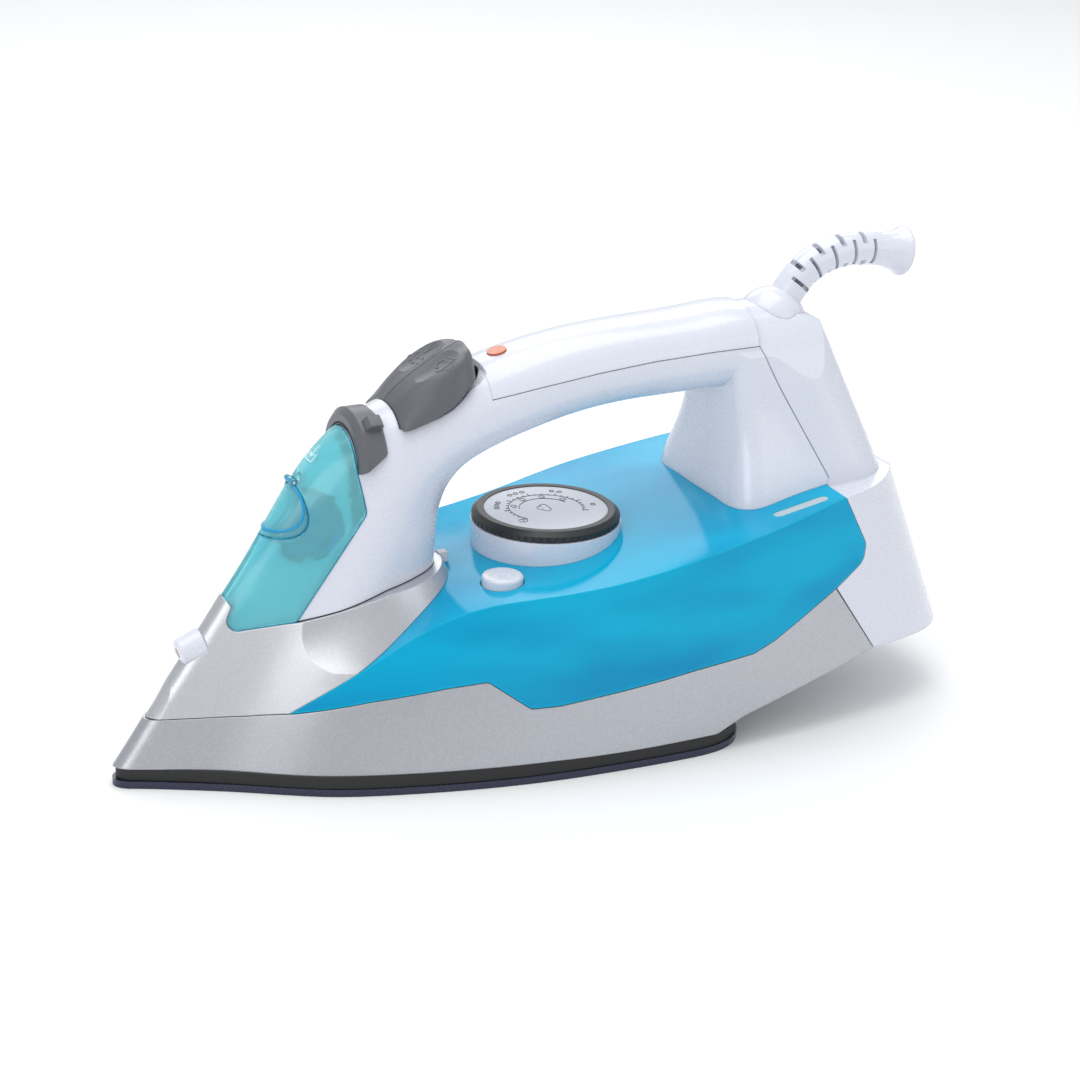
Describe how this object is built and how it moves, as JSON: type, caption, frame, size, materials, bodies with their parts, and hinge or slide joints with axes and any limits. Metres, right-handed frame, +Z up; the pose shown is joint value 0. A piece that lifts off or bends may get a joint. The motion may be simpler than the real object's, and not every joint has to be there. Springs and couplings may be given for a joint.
{
  "type": "steam iron",
  "caption": "Household steam iron with water tank, thumb buttons, steam lever, temperature dial and swivelling cord guard",
  "frame": {"origin": "centre of the sole's working face", "axes": "+Z up, nose towards -X, Y = 0 is the mirror plane"},
  "size_m": [0.3157, 0.1168, 0.1666],
  "materials": {
    "soleplate": "dark blue ceramic coating",
    "base_ring": "black heat resistant",
    "heater_casting": "as cast",
    "heating_element": "drawn tube",
    "chamber_gasket": "silicone",
    "chamber_cover": "stamped",
    "chamber_screws": "zinc plated",
    "thermostat": "ceramic",
    "thermal_fuse": "plated",
    "shield_posts": "turned",
    "heat_shield": "sheet",
    "lower_skirt": "silver paint with fine flakes",
    "front_shroud": "silver paint with fine flakes",
    "tank": "clear blue moulding",
    "tank_floor": "clear blue moulding",
    "level_window": "clear moulding",
    "handle_shell": "gloss moulding",
    "handle_cover": "gloss moulding",
    "front_cover": "clear cyan moulding",
    "rear_cover": "gloss moulding",
    "filler_lid": "clear cyan moulding",
    "lid_pin": "drawn wire",
    "filler_funnel": "clear blue moulding",
    "steam_button": "satin",
    "spray_button": "satin",
    "control_frame": "satin",
    "button_pin": "ground",
    "pump_frame": "moulded",
    "steam_lever": "satin",
    "lever_pin": "ground",
    "valve_rod": "heat resistant moulding",
    "valve_seat": "turned",
    "steam_tube": "silicone",
    "spray_tube": "silicone",
    "spray_nozzle": "gloss moulding",
    "nozzle_jet": "turned",
    "dial_collar": "gloss moulding",
    "dial_ring": "satin",
    "dial_face": "printed",
    "dial_shaft": "moulded",
    "dial_pointer": "gloss moulding",
    "self_clean_button": "gloss moulding",
    "self_clean_spring": "spring wire",
    "pilot_lens": "clear orange",
    "pilot_lamp": "clear",
    "cord_guard": "flexible moulding",
    "swivel_socket": "moulded",
    "terminal_block": "ceramic",
    "supply_wires": "insulated",
    "steam_pump": "moulded",
    "spray_pump": "moulded",
    "steam_piston": "moulded",
    "spray_piston": "moulded",
    "steam_spring": "spring wire",
    "spray_spring": "spring wire"
  },
  "bodies": {
    "iron": {"soleplate": "soleplate", "base_ring": "base_ring", "heater_casting": "heater_casting", "heating_element": "heating_element", "chamber_gasket": "chamber_gasket", "chamber_cover": "chamber_cover", "chamber_screws": "chamber_screws", "thermostat": "thermostat", "thermal_fuse": "thermal_fuse", "shield_posts": "shield_posts", "heat_shield": "heat_shield", "lower_skirt": "lower_skirt", "front_shroud": "front_shroud", "tank": "tank", "tank_floor": "tank_floor", "level_window": "level_window", "handle_shell": "handle_shell", "handle_cover": "handle_cover", "front_cover": "front_cover", "rear_cover": "rear_cover", "lid_pin": "lid_pin", "filler_funnel": "filler_funnel", "control_frame": "control_frame", "button_pin": "button_pin", "pump_frame": "pump_frame", "lever_pin": "lever_pin", "valve_seat": "valve_seat", "steam_tube": "steam_tube", "spray_tube": "spray_tube", "spray_nozzle": "spray_nozzle", "nozzle_jet": "nozzle_jet", "dial_collar": "dial_collar", "dial_pointer": "dial_pointer", "pilot_lens": "pilot_lens", "pilot_lamp": "pilot_lamp", "swivel_socket": "swivel_socket", "terminal_block": "terminal_block", "supply_wires": "supply_wires", "steam_pump": "steam_pump", "spray_pump": "spray_pump"},
    "dial": {"dial_ring": "dial_ring", "dial_face": "dial_face", "dial_shaft": "dial_shaft"},
    "steam_key": {"steam_button": "steam_button"},
    "spray_key": {"spray_button": "spray_button"},
    "steam_plunger": {"steam_piston": "steam_piston", "steam_spring": "steam_spring"},
    "spray_plunger": {"spray_piston": "spray_piston", "spray_spring": "spray_spring"},
    "lever": {"steam_lever": "steam_lever"},
    "valve": {"valve_rod": "valve_rod"},
    "self_clean": {"self_clean_button": "self_clean_button", "self_clean_spring": "self_clean_spring"},
    "lid": {"filler_lid": "filler_lid"},
    "swivel": {"cord_guard": "cord_guard"}
  },
  "joints": [
    {"name": "temperature_dial", "type": "hinge", "parent": "iron", "child": "dial", "pos_m": [0.052, 0, 0.0765], "axis": [0, 0, 1], "range_deg": [0, 250]},
    {"name": "steam_press", "type": "hinge", "parent": "iron", "child": "steam_key", "pos_m": [-0.0076, 0, 0.1135], "axis": [0, 1, 0], "range_deg": [0, 4], "stiffness_Nm_per_rad": 1.2, "springref_deg": -1.72},
    {"name": "spray_press", "type": "hinge", "parent": "iron", "child": "spray_key", "pos_m": [-0.0076, 0, 0.1135], "axis": [0, 1, 0], "range_deg": [0, 4], "stiffness_Nm_per_rad": 1.2, "springref_deg": -1.72},
    {"name": "steam_pump_stroke", "type": "slide", "parent": "iron", "child": "steam_plunger", "axis": [0, 0, -1], "range_m": [0, 0.00146], "deforming": ["steam_spring"]},
    {"name": "spray_pump_stroke", "type": "slide", "parent": "iron", "child": "spray_plunger", "axis": [0, 0, -1], "range_m": [0, 0.00146], "deforming": ["spray_spring"]},
    {"name": "steam_setting", "type": "hinge", "parent": "iron", "child": "lever", "pos_m": [-0.0214, 0, 0.1062], "axis": [-1, 0, 0], "range_deg": [0, 22]},
    {"name": "steam_valve", "type": "slide", "parent": "iron", "child": "valve", "axis": [0, 0, 1], "range_m": [0, 0.00152]},
    {"name": "self_clean_press", "type": "slide", "parent": "iron", "child": "self_clean", "axis": [0, 0, -1], "range_m": [0, 0.0025], "stiffness_N_per_m": 150, "springref_m": -0.001, "deforming": ["self_clean_spring"]},
    {"name": "cord_swivel", "type": "hinge", "parent": "iron", "child": "swivel", "pos_m": [0.14, 0, 0.137], "axis": [0, 0, 1], "range_deg": [-60, 60]},
    {"name": "filler_lid_hinge", "type": "hinge", "parent": "iron", "child": "lid", "pos_m": [-0.04516, 0, 0.10136], "axis": [0, 1, 0], "range_deg": [0, 80]}
  ],
  "couplings": [
    {"joint": "steam_pump_stroke", "follows": "steam_press", "m_per_rad": 0.0206},
    {"joint": "spray_pump_stroke", "follows": "spray_press", "m_per_rad": 0.0206},
    {"joint": "steam_valve", "follows": "steam_setting", "m_per_rad": 0.003907}
  ]
}
